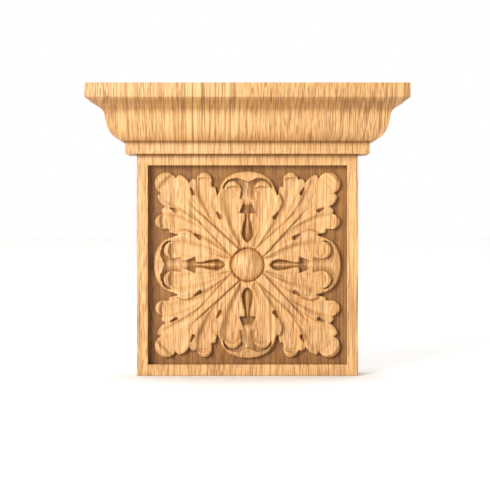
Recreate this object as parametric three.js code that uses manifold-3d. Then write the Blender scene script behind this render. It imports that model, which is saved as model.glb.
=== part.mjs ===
// A pilaster capital carved from one block of oak: a square block with a sunk panel, a rosette of
// four acanthus leaves in the panel, and a cornice that returns along both sides to a flat back.
// Millimetres. The block is worked lying on its back, as on a carver's bench: X across, Y up the
// capital's height, Z out of the back. At the end it is stood up with its front towards -Y.

import * as THREE from 'three';
import { mergeVertices } from 'three/addons/utils/BufferGeometryUtils.js';
import Module from 'manifold-3d';

const wasm = await Module();
wasm.setup();

// Block and sunk panel
const BLOCK_WIDTH = 112;
const BLOCK_DEPTH = 20.5;
const FRAME_WIDTH = 5.6;
const PANEL_DEPTH = 5.2;
const PANEL_WIDTH = BLOCK_WIDTH - 2 * FRAME_WIDTH;
const BLOCK_HEIGHT = BLOCK_WIDTH;

// Cornice: a plain band, a cyma that is hollow above and round below, and a flat slab
const BAND_OVERHANG = 5.4;
const BAND_HEIGHT = 6;
const SLAB_OVERHANG = 24;
const SLAB_HEIGHT = 7;
const CYMA_HEIGHT = 21;
const CYMA_FOOT_BULGE = 0.282;
const CYMA_BELLY = { overhang: 13.5, rise: 6.5, bulge: 0.06 };
const CYMA_BEND = { overhang: 14.9, rise: 12.6, bulge: -0.171 };
const CYMA_HOLLOW = { overhang: 16.7, rise: 16.05, bulge: -0.079 };
const CORNICE_ARC_STEP = THREE.MathUtils.degToRad(12);

// Rosette: heights above the panel's ground
const EYELET_FLOOR = 0.2;
const EYE_FLOOR = 1.2;
const STEP_FLOOR = 2.8;
const STEM_TOP = 2.4;
const BUTTON_RADIUS = 8.3;
const BUTTON_RIM = 1.8;
const BUTTON_TOP = 7.6;
const BUTTON_SIDES = 24;
const BUTTON_RINGS = 5;

// Working allowances: how far a joined piece is sunk in, and a height above every leaf
const BURIED = 1;
const CLEAR = 8;
const ARC_STEP = THREE.MathUtils.degToRad(26);
const WELD = 1e-4;

// Outlines of one octant of the rosette, from its centre: X across from the axis, Y along the axis.
// Each entry is a point and the bulge of the arc to the next one, the tangent of a quarter of its
// angle, positive where the arc swings out to the right.

// Folded leaf tip that closes the axis, a superellipse above its springing
const FOLD = { springing: 35.3, halfWidth: 14.3, rise: 12, power: 2.3, footAngle: 0.09, steps: 6 };

// Corner leaf from the folded tip to the diagonal: middle lobe with its teeth, then the end lobe
const CORNER_LEAF = [
  [15.3, 34.6, 0.05],
  [16.4, 39.5, 0],
  [18.3, 39.7, 0],
  [18.3, 42.3, -1.1],
  [25.7, 43.0, -0.2],
  [27.8, 43.6, -0.25],
  [29.4, 41.1, -0.26],
  [34.9, 45.7, -0.2],
  [36.2, 43.6, -0.54],
  [45.2, 45.2, 0],
];

// Hollow between two side lobes, up the side lobe's toothed edge and round its curled tip, then
// under the folded tip back to the axis
const EYELET = [
  [0, 11.3, 0.37],
  [2.75, 17.1, 0.08],
  [1.5, 22.5, -0.03],
  [1.3, 26.0, 0],
  [4.3, 26.4, 0],
  [1.4, 33.1, 0],
  [4.1, 33.7, -0.14],
  [3.3, 38.2, -1],
  [11.7, 38.2, 0],
  [12.4, 38.8, 0.3],
  [9.8, 43.0, 0.15],
  [4.8, 44.0, -0.05],
  [0, 42.0, 0],
];

// Side lobe's outer edge, which lies over the middle lobe, and the drilled eyes between lobes
const SIDE_LOBE_EDGE = { from: [15.4, 36], to: [16, 27.7], bulge: -0.54, stepBulge: -1.15 };
const EYES = [
  { round: [13.8, 24.0], radius: 1.05, point: [15.6, 26.9] },
  { round: [27.4, 36.2], radius: 1.0, point: [28.8, 39.1] },
];
const EYE_RIM = { fromDegrees: 70, toDegrees: 290, steps: 6 };

// Guide lines of the leaves' surface in one octant: X across, Y along, and height above the ground
const GUIDES = [
  // Side lobe: edge at the eyelet, floor, foot of the wall, crest, outer edge, what lies below that
  [[1.6, 10.2, 3.6], [2.9, 17.0, 3.8], [2.3, 25.0, 3.7], [3.0, 31.0, 3.2], [3.7, 36.0, 2.6]],
  [[3.0, 11.4, 3.3], [4.7, 17.7, 3.2], [5.6, 22.8, 3.0], [6.0, 27.8, 2.5], [6.4, 32.9, 1.9],
    [6.9, 37.4, 1.5]],
  [[3.4, 9.6, 3.3], [4.3, 13.1, 3.1], [6.1, 17.9, 3.0], [7.5, 23.0, 2.8], [8.0, 28.0, 2.4],
    [8.8, 33.0, 1.9], [9.4, 37.1, 1.6]],
  [[4.1, 8.6, 4.4], [6.8, 12.9, 4.8], [9.5, 17.7, 5.1], [11.7, 22.2, 5.4], [13.9, 27.8, 5.5],
    [15.2, 32.4, 5.4], [14.6, 35.6, 4.5], [12.9, 38.0, 3.6]],
  [[15.7, 28.4, 5.2], [16.9, 31.8, 5.2], [16.0, 35.2, 4.5]],
  [[17.4, 28.0, 3.1], [18.3, 31.8, 2.5], [17.4, 35.6, 2.3]],
  // Its lip: foot, crest and rim
  [[4.6, 38.5, 1.4], [6.9, 39.3, 1.4], [9.6, 38.9, 1.4]],
  [[3.9, 39.7, 3.5], [6.6, 40.5, 3.9], [9.8, 40.0, 3.5]],
  [[4.5, 41.3, 3.1], [7.5, 42.5, 3.3], [10.6, 41.3, 3.1]],
  // Folded tip: outer edge and crest
  [[0, 47.3, 2.3], [6, 46.9, 2.3], [10.5, 44.4, 2.3], [13.2, 41, 2.3], [14.2, 37, 2.3]],
  [[0, 42, 3.9], [4.8, 44, 3.9], [9.8, 43, 3.9], [12.4, 38.8, 3.4]],
  // Middle lobe: edge at the folded tip, floor
  [[17.2, 36.0, 2.4], [18.6, 39.0, 2.4], [18.8, 41.6, 2.6]],
  [[6.6, 10.6, 3.8], [10.6, 15.2, 3.6], [14.2, 19.4, 3.3], [17.4, 24.0, 3.0], [19.2, 28.6, 2.5],
    [20.0, 33.5, 2.0], [20.6, 38.5, 1.9], [21.0, 41.6, 2.0]],
  // Its lip
  [[19.7, 43.1, 1.7], [22.0, 43.7, 1.7], [24.4, 43.3, 1.7]],
  [[19.0, 44.1, 3.5], [22.0, 44.9, 3.9], [25.0, 44.4, 3.5]],
  [[19.4, 45.4, 3.1], [22.0, 46.4, 3.3], [24.9, 45.7, 3.1]],
];

// Guide lines near the diagonal, whose mirror images count too
const DIAGONAL_GUIDES = [
  // Middle lobe: foot of the wall, crest that ends at the second eye
  [[17.3, 22.9, 3.3], [19.4, 27.3, 2.7], [20.9, 31.3, 2.3], [22.2, 35.2, 2.1], [23.2, 39.1, 2.1],
    [23.8, 41.8, 2.3]],
  [[17.4, 19.9, 4.1], [20.2, 23.8, 4.3], [22.9, 27.8, 4.5], [25.3, 31.6, 4.8], [26.9, 34.9, 4.8],
    [27.6, 38.0, 4.3], [27.3, 41.4, 3.4]],
  // End lobe: leaflet beside the second eye, bed of the midrib, floor
  [[20.6, 22.4, 3.8], [24.4, 27.0, 3.6], [28.0, 31.6, 3.3], [31.2, 36.6, 2.9], [33.4, 41.0, 2.8],
    [34.6, 44.6, 2.9]],
  [[6.6, 6.6, 3.9], [15.0, 15.0, 3.9], [23.0, 23.0, 3.8], [30.0, 30.0, 3.6], [35.0, 35.0, 3.1],
    [39.5, 39.5, 2.4]],
  [[29.6, 39.8, 3.8], [31.0, 42.2, 3.6]],
  // Its lip
  [[38.2, 44.4, 2.2], [39.8, 42.8, 2], [41.2, 41.2, 2]],
  [[40.2, 46.0, 3.6], [42.0, 45.2, 4.0], [43.6, 43.6, 4.1]],
  [[41.2, 46.8, 3.1], [43.6, 46.2, 3.1], [45.3, 45.3, 3.1]],
];
const GUIDE_POWER = 3;
const GUIDE_ROUNDING = 0.3;

// Square grid on which the leaves' surface is worked out
const GRID_WIDTH = 96;
const GRID_CELLS = 42;

// Midrib along the diagonal: it stands up from its bed, narrows and sinks into the end lobe
const MIDRIB = { rise: 1.3, halfWidth: 2.5, tipHalfWidth: 0.9, wall: 1, from: 8, full: 30, to: 45 };
const MIDRIB_STATIONS = 7;

// Bed of each eyelet with its stem: round in the slit, it dips behind the first tooth and
// broadens to a soft bed. Stations along the axis with the bed's half width, which stays under the
// leaves, then the stem: share of its full height, half width, share of the height its sides keep
const BED_STATIONS = [
  [11.3, 2.5, 0.15, 1.2, 0], [14.5, 4, 0.55, 1.3, 0], [19, 4, 0.8, 1.3, 0], [23, 4, 0.85, 1.1, 0],
  [25.6, 4.6, 0.7, 1, 0], [27.2, 4.6, 0.2, 1, 0], [29.4, 4.6, 0.3, 1.2, 0], [31, 4.6, 0.9, 1.6, 0.5],
  [33.2, 4.8, 1, 1.8, 0.6], [36.2, 9, 0.6, 2, 0.3], [39.5, 12.6, 0.55, 2.2, 0.3], [44.6, 6, 0.65, 2.4, 0.3],
];
const STEM_SECTION = [1.3, 0, -1.3];

// Points of the arc between two points, without the last
function arc(from, to, bulge, arcStep = ARC_STEP) {
  const start = new THREE.Vector2(...from);
  const chord = new THREE.Vector2(...to).sub(start);
  const angle = 4 * Math.atan(bulge);
  const steps = Math.max(1, Math.ceil(Math.abs(angle) / arcStep));
  const points = [start];
  for (let i = 1; i < steps; i += 1) {
    const part = (angle * i) / steps;
    const reach = Math.sin(part / 2) / Math.sin(angle / 2);
    const turn = (part - angle) / 2;
    points.push(chord.clone().rotateAround(new THREE.Vector2(), turn).multiplyScalar(reach).add(start));
  }
  return points;
}

// Points along a list of [x, y, bulge], the last point included
function trace(list, arcStep = ARC_STEP) {
  const points = [];
  for (let i = 0; i + 1 < list.length; i += 1) {
    points.push(...arc(list[i].slice(0, 2), list[i + 1].slice(0, 2), list[i][2], arcStep));
  }
  points.push(new THREE.Vector2(...list.at(-1).slice(0, 2)));
  return points;
}

// The octant's own point, turned clockwise by quarters and, where flipped, mirrored in the diagonal
function inOctant(point, quarter, flipped) {
  const [x, y] = flipped ? [point.y, point.x] : [point.x, point.y];
  const [across, along] = [[x, y], [y, -x], [-x, -y], [-y, x]][quarter];
  return new THREE.Vector3(across, along, point.z ?? 0);
}

// Calls make(place) for each of the eight octants, where place puts an octant's point in its place
function forOctants(make) {
  const made = [];
  for (const quarter of [0, 1, 2, 3]) {
    for (const flipped of [false, true]) {
      made.push(make((point) => inOctant(point, quarter, flipped)));
    }
  }
  return made;
}

// Calls make(place) for each quarter, without the mirrored octants
function forQuarters(make) {
  return [0, 1, 2, 3].map((quarter) => make((point) => inOctant(point, quarter, false)));
}

// Closed geometry with its faces pointing out, from points and triangles
function closedGeometry(points, triangles) {
  const geometry = new THREE.BufferGeometry().setFromPoints(points);
  let volume = 0;
  for (const [a, b, c] of triangles) {
    volume += points[a].dot(points[b].clone().cross(points[c]));
  }
  const facing = volume > 0 ? triangles : triangles.map(([a, b, c]) => [a, c, b]);
  geometry.setIndex(facing.flat());
  return geometry;
}

// Skin over a row of rings with equal numbers of points, closed by a fan at each end
function loft(rings) {
  const around = rings[0].length;
  const triangles = [];
  for (let r = 0; r + 1 < rings.length; r += 1) {
    for (let i = 0; i < around; i += 1) {
      const [a, b] = [r * around + i, r * around + ((i + 1) % around)];
      triangles.push([a, b, b + around], [a, b + around, a + around]);
    }
  }
  const last = (rings.length - 1) * around;
  for (let i = 1; i + 1 < around; i += 1) {
    triangles.push([0, i + 1, i], [last, last + i, last + i + 1]);
  }
  return closedGeometry(rings.flat(), triangles);
}

// Upright prism over a flat outline
function prism(outline, low, high) {
  const shape = new THREE.Shape(outline.map((point) => new THREE.Vector2(point.x, point.y)));
  const geometry = new THREE.ExtrudeGeometry(shape, { depth: high - low, bevelEnabled: false });
  return geometry.translate(0, 0, low);
}

// Solid of a closed geometry, its shared vertices merged and empty triangles dropped
function solidOf(geometry) {
  const bare = new THREE.BufferGeometry();
  bare.setAttribute('position', geometry.getAttribute('position'));
  bare.setIndex(geometry.index);
  const merged = mergeVertices(bare, WELD);
  const corners = Array.from(merged.index.array);
  const triVerts = [];
  for (let i = 0; i < corners.length; i += 3) {
    const [a, b, c] = corners.slice(i, i + 3);
    if (a !== b && b !== c && c !== a) {
      triVerts.push(a, b, c);
    }
  }
  const vertProperties = Float32Array.from(merged.getAttribute('position').array);
  const mesh = new wasm.Mesh({ numProp: 3, vertProperties, triVerts: Uint32Array.from(triVerts) });
  return new wasm.Manifold(mesh);
}

function joined(solids) {
  return solids.reduce((whole, solid) => whole.add(solid));
}

// Block and cornice: a stack of rectangles, each as far out on the front and sides as the profile there
function block() {
  const bandTop = BLOCK_HEIGHT + BAND_HEIGHT;
  const slabFoot = bandTop + CYMA_HEIGHT;
  const profile = trace([
    [0, 0, 0],
    [0, BLOCK_HEIGHT, 0],
    [BAND_OVERHANG, BLOCK_HEIGHT, 0],
    [BAND_OVERHANG, bandTop, CYMA_FOOT_BULGE],
    [CYMA_BELLY.overhang, bandTop + CYMA_BELLY.rise, CYMA_BELLY.bulge],
    [CYMA_BEND.overhang, bandTop + CYMA_BEND.rise, CYMA_BEND.bulge],
    [CYMA_HOLLOW.overhang, bandTop + CYMA_HOLLOW.rise, CYMA_HOLLOW.bulge],
    [SLAB_OVERHANG, slabFoot, 0],
    [SLAB_OVERHANG, slabFoot + SLAB_HEIGHT, 0],
  ], CORNICE_ARC_STEP);
  const rings = profile.map(({ x: overhang, y: height }) => {
    const side = BLOCK_WIDTH / 2 + overhang;
    const front = BLOCK_DEPTH + overhang;
    const corners = [[-side, 0], [-side, front], [side, front], [side, 0]];
    return corners.map(([x, z]) => new THREE.Vector3(x, height, z));
  });
  return solidOf(loft(rings));
}

function panelSink() {
  const sink = new THREE.BoxGeometry(PANEL_WIDTH, PANEL_WIDTH, PANEL_DEPTH + BURIED);
  return solidOf(sink.translate(0, BLOCK_HEIGHT / 2, BLOCK_DEPTH + (BURIED - PANEL_DEPTH) / 2));
}

// Half outline of the rosette, from the axis over the folded tip to the end of the diagonal
function rosetteEdge() {
  const fold = [];
  for (let i = 0; i < FOLD.steps; i += 1) {
    const angle = THREE.MathUtils.lerp(Math.PI / 2, FOLD.footAngle, i / FOLD.steps);
    const across = FOLD.halfWidth * Math.cos(angle) ** (2 / FOLD.power);
    const along = FOLD.springing + FOLD.rise * Math.sin(angle) ** (2 / FOLD.power);
    fold.push(new THREE.Vector2(i === 0 ? 0 : across, along));
  }
  return [...fold, ...trace(CORNER_LEAF)];
}

// Spans of a guide line in plan, each with its heights at both ends
function spansOf(guide) {
  return guide.slice(1).map((end, i) => {
    const start = guide[i];
    const [from, to] = [start, end].map(([x, y]) => new THREE.Vector3(x, y, 0));
    return { line: new THREE.Line3(from, to), heights: [start[2], end[2]] };
  });
}

const mirroredGuides = DIAGONAL_GUIDES.map((guide) => guide.map(([x, y, height]) => [y, x, height]));
const guideSpans = [...GUIDES, ...DIAGONAL_GUIDES, ...mirroredGuides].map(spansOf);

// Height of the leaves: mean of the guide lines' heights, weighted by closeness to a power
function leafHeight(x, y) {
  const across = Math.min(Math.abs(x), Math.abs(y));
  const along = Math.max(Math.abs(x), Math.abs(y));
  const point = new THREE.Vector3(across, along, 0);
  const spot = new THREE.Vector3();
  let total = 0;
  let weights = 0;
  for (const spans of guideSpans) {
    let gap = Infinity;
    let height = 0;
    for (const { line, heights } of spans) {
      const share = line.closestPointToPointParameter(point, true);
      const distance = line.at(share, spot).distanceTo(point);
      if (distance < gap) {
        gap = distance;
        height = THREE.MathUtils.lerp(...heights, share);
      }
    }
    const weight = Math.hypot(gap, GUIDE_ROUNDING) ** -GUIDE_POWER;
    total += weight * height;
    weights += weight;
  }
  return total / weights;
}

// Block whose top is the leaves' surface, each cell split along the diagonal whose ends differ less
function leafSurface() {
  const count = GRID_CELLS + 1;
  const tops = [];
  for (let i = 0; i < count; i += 1) {
    for (let j = 0; j < count; j += 1) {
      const [x, y] = [i, j].map((step) => (step / GRID_CELLS - 0.5) * GRID_WIDTH);
      tops.push(new THREE.Vector3(x, y, leafHeight(x, y)));
    }
  }
  const below = tops.length;
  const bottoms = tops.map(({ x, y }) => new THREE.Vector3(x, y, -BURIED));
  const triangles = [];
  for (let i = 0; i < GRID_CELLS; i += 1) {
    for (let j = 0; j < GRID_CELLS; j += 1) {
      const [a, b] = [i * count + j, (i + 1) * count + j];
      const [c, d] = [b + 1, a + 1];
      const falling = Math.abs(tops[b].z - tops[d].z) < Math.abs(tops[a].z - tops[c].z);
      const halves = falling ? [[a, b, d], [b, c, d]] : [[a, b, c], [a, c, d]];
      triangles.push(...halves, ...halves.map(([p, q, r]) => [below + p, below + r, below + q]));
    }
  }
  const last = GRID_CELLS * count;
  for (let i = 0; i < GRID_CELLS; i += 1) {
    const sides = [
      [i * count, (i + 1) * count],
      [last + i, last + i + 1],
      [(i + 2) * count - 1, (i + 1) * count - 1],
      [i + 1, i],
    ];
    for (const [p, q] of sides) {
      triangles.push([q, p, below + p], [q, below + p, below + q]);
    }
  }
  return solidOf(closedGeometry([...tops, ...bottoms], triangles));
}

function leafBlank() {
  const half = rosetteEdge();
  const mirrored = half.slice(1, -1).reverse().map((point) => new THREE.Vector2(point.y, point.x));
  const quarter = [...half, ...mirrored];
  const outline = forQuarters((place) => quarter.map(place)).flat();
  return solidOf(prism(outline, -BURIED / 2, CLEAR)).intersect(leafSurface());
}

// Hollows between side lobes, cut down to their floor
function eyelets() {
  const half = trace(EYELET);
  const mirrored = half.slice(1, -1).reverse().map((point) => new THREE.Vector2(-point.x, point.y));
  const outline = [...half, ...mirrored];
  return forQuarters((place) => solidOf(prism(outline.map(place), EYELET_FLOOR, CLEAR)));
}

// Step from each side lobe down to the middle lobe, a crescent along the side lobe's outer edge
function lobeSteps() {
  const { from, to, bulge, stepBulge } = SIDE_LOBE_EDGE;
  const edge = [...arc(from, to, bulge), ...arc(to, from, -stepBulge)];
  return forOctants((place) => solidOf(prism(edge.map(place), STEP_FLOOR, CLEAR)));
}

// Drilled eyes, round at the foot and drawn out to a point
function eyes() {
  return EYES.flatMap(({ round, radius, point }) => {
    const centre = new THREE.Vector2(...round);
    const heading = new THREE.Vector2(...point).sub(centre).angle();
    const rim = [new THREE.Vector2(...point)];
    for (let i = 0; i <= EYE_RIM.steps; i += 1) {
      const turn = THREE.MathUtils.lerp(EYE_RIM.fromDegrees, EYE_RIM.toDegrees, i / EYE_RIM.steps);
      const angle = heading + THREE.MathUtils.degToRad(turn);
      rim.push(new THREE.Vector2(Math.cos(angle), Math.sin(angle)).multiplyScalar(radius).add(centre));
    }
    return forOctants((place) => solidOf(prism(rim.map(place), EYE_FLOOR, CLEAR)));
  });
}

// Midribs: flat-topped ribs along the diagonals, with sloping walls
function midribs() {
  const along = new THREE.Vector2(1, 1).normalize();
  const aside = new THREE.Vector2(-1, 1).normalize();
  const rings = [];
  for (let i = 0; i <= MIDRIB_STATIONS; i += 1) {
    const share = i / MIDRIB_STATIONS;
    const distance = THREE.MathUtils.lerp(MIDRIB.from, MIDRIB.to, share);
    const halfWidth = THREE.MathUtils.lerp(MIDRIB.halfWidth, MIDRIB.tipHalfWidth, share);
    const middle = along.clone().multiplyScalar(distance);
    const sinking = THREE.MathUtils.smoothstep(distance, MIDRIB.full, MIDRIB.to);
    const top = leafHeight(middle.x, middle.y) + MIDRIB.rise * (1 - sinking);
    const foot = halfWidth + MIDRIB.wall;
    const section = [[-foot, top - 2 * MIDRIB.rise], [foot, top - 2 * MIDRIB.rise],
      [halfWidth - MIDRIB.wall / 2, top], [MIDRIB.wall / 2 - halfWidth, top]];
    rings.push(section.map(([offset, height]) => {
      const flat = aside.clone().multiplyScalar(offset).add(middle);
      return new THREE.Vector3(flat.x, flat.y, height);
    }));
  }
  return forQuarters((place) => solidOf(loft(rings.map((ring) => ring.map(place)))));
}

// Beds of the eyelets, with the stem from the slit to the folded tip
function eyeletBeds() {
  return forQuarters((place) => solidOf(loft(BED_STATIONS.map(([along, halfWidth, share, stem, sides]) => {
    const rise = (STEM_TOP - EYELET_FLOOR) * share;
    const ring = [[0, -BURIED], [halfWidth, -BURIED]];
    for (const across of [halfWidth, ...STEM_SECTION.map((part) => part * stem), -halfWidth]) {
      const rounded = sides + (1 - sides) * Math.exp(-((across / stem) ** 2));
      ring.push([across, EYELET_FLOOR + rise * rounded]);
    }
    ring.push([-halfWidth, -BURIED]);
    return ring.map(([across, height]) => place(new THREE.Vector3(across, along, height)));
  }))));
}

// Button over the middle, a low dome on a short round foot
function button() {
  const profile = [new THREE.Vector2(0, -BURIED), new THREE.Vector2(BUTTON_RADIUS, -BURIED)];
  for (let i = 0; i < BUTTON_RINGS; i += 1) {
    const angle = (Math.PI / 2) * (i / BUTTON_RINGS);
    const height = BUTTON_RIM + (BUTTON_TOP - BUTTON_RIM) * Math.sin(angle);
    profile.push(new THREE.Vector2(BUTTON_RADIUS * Math.cos(angle), height));
  }
  profile.push(new THREE.Vector2(0, BUTTON_TOP));
  return solidOf(new THREE.LatheGeometry(profile, BUTTON_SIDES).rotateX(Math.PI / 2));
}

function rosette() {
  const cuts = [...eyelets(), ...lobeSteps(), ...eyes()];
  const leaves = joined([leafBlank(), ...midribs()]).subtract(joined(cuts));
  return joined([leaves, ...eyeletBeds(), button()]);
}

// Geometry of a finished solid, moved by a step
function geometryOf(solid, step = [0, 0, 0]) {
  const { vertProperties, triVerts } = solid.getMesh();
  const geometry = new THREE.BufferGeometry();
  geometry.setAttribute('position', new THREE.BufferAttribute(Float32Array.from(vertProperties), 3));
  geometry.setIndex(Array.from(triVerts));
  return geometry.translate(...step);
}

const oak = new THREE.MeshStandardMaterial({ color: 0xe0b57c, roughness: 0.55, metalness: 0 });
const inPanel = [0, BLOCK_HEIGHT / 2, BLOCK_DEPTH - PANEL_DEPTH];
const carving = solidOf(geometryOf(rosette(), inPanel));
const geometry = geometryOf(block().subtract(panelSink()).add(carving));

const capital = new THREE.Mesh(geometry, oak);
capital.name = 'capital';
capital.rotation.x = Math.PI / 2;
capital.position.y = BLOCK_DEPTH / 2;

const part = new THREE.Group();
part.add(capital);

export default part;
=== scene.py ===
"""Carved oak pilaster capital: mouldings, sunk panel and acanthus rosette, in a plain pale studio."""

import math

import bmesh
import bpy
import numpy as np
from bpy.props import FloatProperty, FloatVectorProperty, IntProperty, PointerProperty
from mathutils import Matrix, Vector


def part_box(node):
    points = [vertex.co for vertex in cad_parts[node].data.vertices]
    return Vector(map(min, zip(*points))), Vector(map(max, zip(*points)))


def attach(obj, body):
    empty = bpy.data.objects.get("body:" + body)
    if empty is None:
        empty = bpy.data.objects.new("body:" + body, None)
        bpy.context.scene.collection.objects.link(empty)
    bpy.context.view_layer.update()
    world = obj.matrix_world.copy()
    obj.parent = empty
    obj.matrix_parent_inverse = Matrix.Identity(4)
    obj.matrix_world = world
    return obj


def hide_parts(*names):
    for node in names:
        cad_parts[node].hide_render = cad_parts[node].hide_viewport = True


bl_info = {
    "name": "Carved oak capital",
    "version": (1, 0, 0),
    "blender": (4, 5, 0),
    "location": "3D View > Sidebar > Capital",
    "description": "Carves a pilaster capital, finishes it in oiled oak and sets it in a pale studio",
    "category": "Add Mesh",
}

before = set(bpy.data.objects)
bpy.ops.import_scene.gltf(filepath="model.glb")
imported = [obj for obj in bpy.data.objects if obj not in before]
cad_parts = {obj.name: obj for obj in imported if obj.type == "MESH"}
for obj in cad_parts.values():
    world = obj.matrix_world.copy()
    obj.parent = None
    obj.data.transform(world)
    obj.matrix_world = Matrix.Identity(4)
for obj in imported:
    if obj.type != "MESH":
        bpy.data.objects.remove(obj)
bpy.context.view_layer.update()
LOW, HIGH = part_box("capital")

MM = 0.001


# Carving pattern of one octant of the rosette, in millimetres from its centre: across from the
# axis, then along the axis. A third number is the bulge of the arc to the next point, the tangent
# of a quarter of the arc's angle, positive where the arc swings out to the right.

# Folded leaf tip that closes the axis, a superellipse above its springing
FOLD = {
    "springing": 35.3,
    "half_width": 14.3,
    "rise": 12.0,
    "power": 2.3,
    "foot_angle": 0.09,
    "steps": 24,
}

# Corner leaf from the folded tip to the diagonal: middle lobe with its teeth, then the end lobe
CORNER_LEAF = [
    (15.3, 34.6, 0.05),
    (16.4, 39.5, 0.0),
    (18.3, 39.7, 0.0),
    (18.3, 42.3, -1.1),
    (25.7, 43.0, -0.2),
    (27.8, 43.6, -0.25),
    (29.4, 41.1, -0.26),
    (34.9, 45.7, -0.2),
    (36.2, 43.6, -0.54),
    (45.2, 45.2, 0.0),
]

# Hollow between two side lobes: up the side lobe's toothed edge and round its curled tip, then
# along the brace, the folded tip's inner edge, back to the axis
EYELET = [
    (0.0, 11.3, 0.37),
    (2.75, 17.1, 0.08),
    (1.5, 22.5, -0.03),
    (1.3, 26.0, 0.0),
    (4.3, 26.4, 0.0),
    (1.4, 33.1, 0.0),
    (4.1, 33.7, -0.14),
    (3.3, 38.2, -1.0),
    (11.7, 38.2, 0.0),
    (12.4, 38.8, 0.3),
    (9.8, 43.0, 0.15),
    (4.8, 44.0, -0.05),
    (0.0, 42.0, 0.0),
]
BRACE = EYELET[9:]

# Side lobe's outer edge, which lies over the middle lobe, and the drilled eyes between the lobes
SIDE_LOBE_EDGE = [(15.4, 36.0, -0.54), (16.0, 27.7, 0.0)]
EYES = [
    {"round": (13.8, 24.0), "radius": 1.4, "point": (15.5, 26.6)},
    {"round": (27.4, 36.2), "radius": 1.3, "point": (28.7, 38.8)},
]
EYE_POINT_RADIUS = 0.7
EYE_SLOPE_WIDTH = 0.9

# Guide lines of the leaves' surface in one octant: across, along and height above the ground
GUIDES = [
    # Side lobe: edge at the eyelet, floor, foot of the wall, crest, outer edge, what lies below that
    [(1.6, 10.2, 3.6), (2.9, 17.0, 3.8), (2.3, 25.0, 3.7), (3.0, 31.0, 3.2), (3.7, 36.0, 2.6)],
    [(3.0, 11.4, 3.3), (4.7, 17.7, 3.2), (5.6, 22.8, 3.0), (6.0, 27.8, 2.5), (6.4, 32.9, 1.9),
     (6.9, 37.4, 1.5)],
    [(3.4, 9.6, 3.3), (4.3, 13.1, 3.1), (6.1, 17.9, 3.0), (7.5, 23.0, 2.8), (8.0, 28.0, 2.4),
     (8.8, 33.0, 1.9), (9.4, 37.1, 1.6)],
    [(4.1, 8.6, 4.4), (6.8, 12.9, 4.8), (9.5, 17.7, 5.1), (11.7, 22.2, 5.4), (13.9, 27.8, 5.5),
     (15.2, 32.4, 5.4), (14.6, 35.6, 4.5), (12.9, 38.0, 3.6)],
    [(15.7, 28.4, 5.2), (16.9, 31.8, 5.2), (16.0, 35.2, 4.5)],
    [(17.4, 28.0, 3.1), (18.3, 31.8, 2.5), (17.4, 35.6, 2.3)],
    # Its lip: foot, crest and rim
    [(4.6, 38.5, 1.4), (6.9, 39.3, 1.4), (9.6, 38.9, 1.4)],
    [(3.9, 39.7, 3.5), (6.6, 40.5, 3.9), (9.8, 40.0, 3.5)],
    [(4.5, 41.3, 3.1), (7.5, 42.5, 3.3), (10.6, 41.3, 3.1)],
    # Middle lobe: edge at the folded tip, floor
    [(17.2, 36.0, 2.4), (18.6, 39.0, 2.4), (18.8, 41.6, 2.6)],
    [(6.6, 10.6, 3.8), (10.6, 15.2, 3.6), (14.2, 19.4, 3.3), (17.4, 24.0, 3.0), (19.2, 28.6, 2.5),
     (20.0, 33.5, 2.0), (20.6, 38.5, 1.9), (21.0, 41.6, 2.0)],
    # Its lip: foot, crest and rim
    [(19.7, 43.1, 1.7), (22.0, 43.7, 1.7), (24.4, 43.3, 1.7)],
    [(19.0, 44.1, 3.5), (22.0, 44.9, 3.9), (25.0, 44.4, 3.5)],
    [(19.4, 45.4, 3.1), (22.0, 46.4, 3.3), (24.9, 45.7, 3.1)],
]
LOBE_FOOT = GUIDES[2]

# Guide lines near the diagonal, whose mirror images count too
DIAGONAL_GUIDES = [
    # Middle lobe: foot of the wall, crest that ends beyond the second eye
    [(17.3, 22.9, 3.3), (19.4, 27.3, 2.7), (20.9, 31.3, 2.3), (22.2, 35.2, 2.1), (23.2, 39.1, 2.1),
     (23.8, 41.8, 2.3)],
    [(17.4, 19.9, 4.1), (20.2, 23.8, 4.3), (22.9, 27.8, 4.5), (25.3, 31.6, 4.8), (26.9, 34.9, 4.8),
     (27.6, 38.0, 4.3), (27.3, 41.4, 3.4)],
    # End lobe: floor, bed of the midrib, raised edge beyond the second eye
    [(20.6, 22.4, 3.8), (24.4, 27.0, 3.6), (28.0, 31.6, 3.3), (31.2, 36.6, 2.9), (33.4, 41.0, 2.8),
     (34.6, 44.6, 2.9)],
    [(6.6, 6.6, 3.9), (15.0, 15.0, 3.9), (23.0, 23.0, 3.8), (30.0, 30.0, 3.6), (35.0, 35.0, 3.1),
     (39.5, 39.5, 2.4)],
    [(29.6, 39.8, 3.8), (31.0, 42.2, 3.6)],
    # Its lip: foot, crest and rim
    [(38.2, 44.4, 2.2), (39.8, 42.8, 2.0), (41.2, 41.2, 2.0)],
    [(40.2, 46.0, 3.6), (42.0, 45.2, 4.0), (43.6, 43.6, 4.1)],
    [(41.2, 46.8, 3.1), (43.6, 46.2, 3.1), (45.3, 45.3, 3.1)],
]
GUIDE_POWER = 3.0
GUIDE_ROUNDING = 0.3

# Midrib along the diagonal: it stands up from its bed, narrows and sinks into the end lobe
MIDRIB = {
    "rise": 1.3,
    "half_width": 2.5,
    "end_half_width": 0.9,
    "wall": 1.0,
    "from": 8.0,
    "full": 30.0,
    "to": 45.0,
}

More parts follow.
